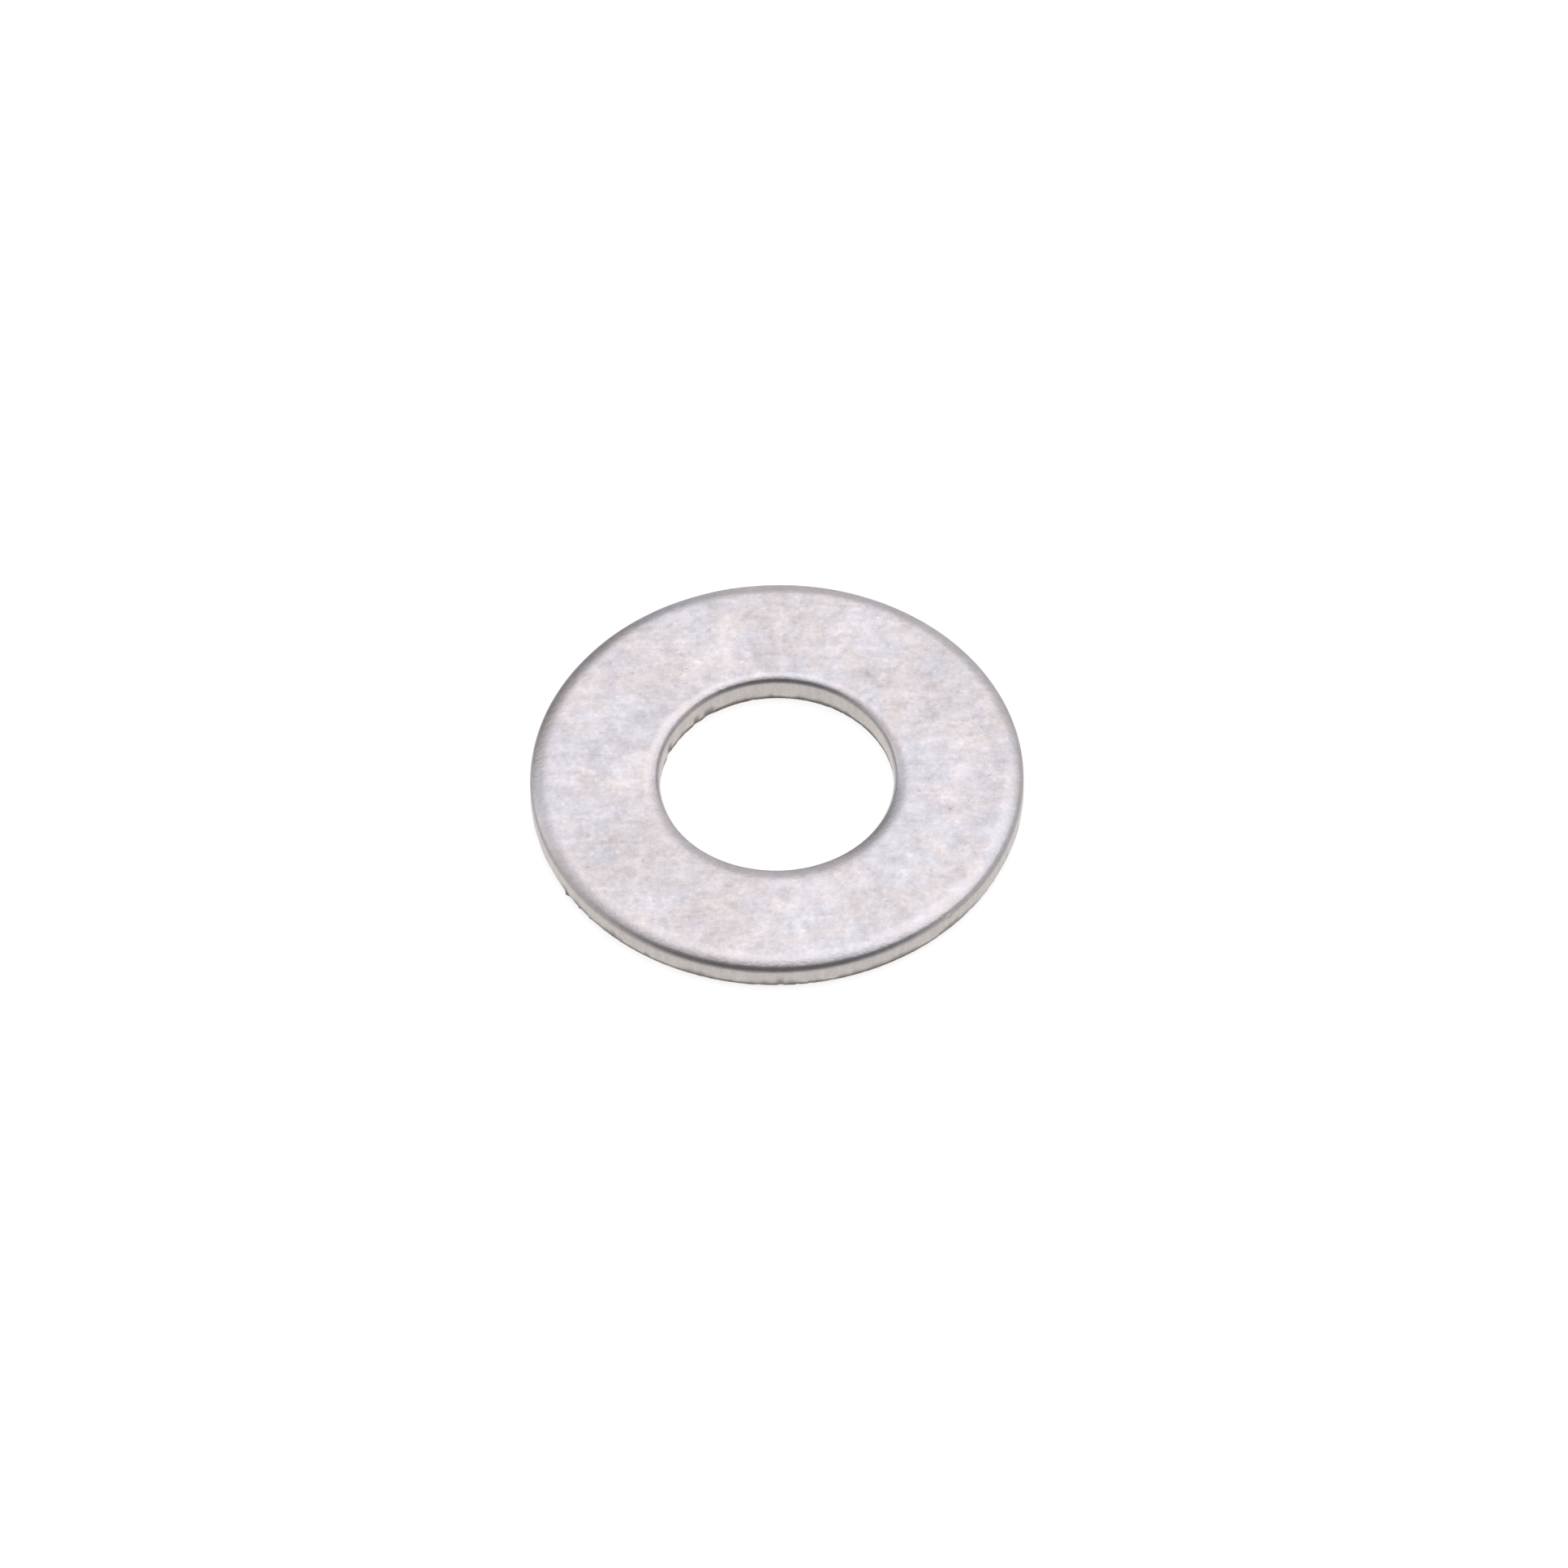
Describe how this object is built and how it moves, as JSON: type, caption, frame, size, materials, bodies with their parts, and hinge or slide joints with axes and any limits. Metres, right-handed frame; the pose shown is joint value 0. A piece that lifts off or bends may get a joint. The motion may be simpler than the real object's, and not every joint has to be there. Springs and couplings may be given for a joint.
{
  "type": "flat washer",
  "caption": "Thin flat ring of stamped stainless steel with a round screw hole and softly rolled top edges.",
  "frame": {"origin": "on the hole's axis, in the plane of the lower bearing face", "axes": "+Z along the screw's axis, from the lower (burr) face to the upper (rolled) face; the washer lies flat in XY"},
  "size_m": [0.008, 0.008, 0.0005],
  "materials": {
    "stainless": "satin"
  },
  "bodies": {
    "root": {"washer": "stainless"}
  },
  "joints": []
}
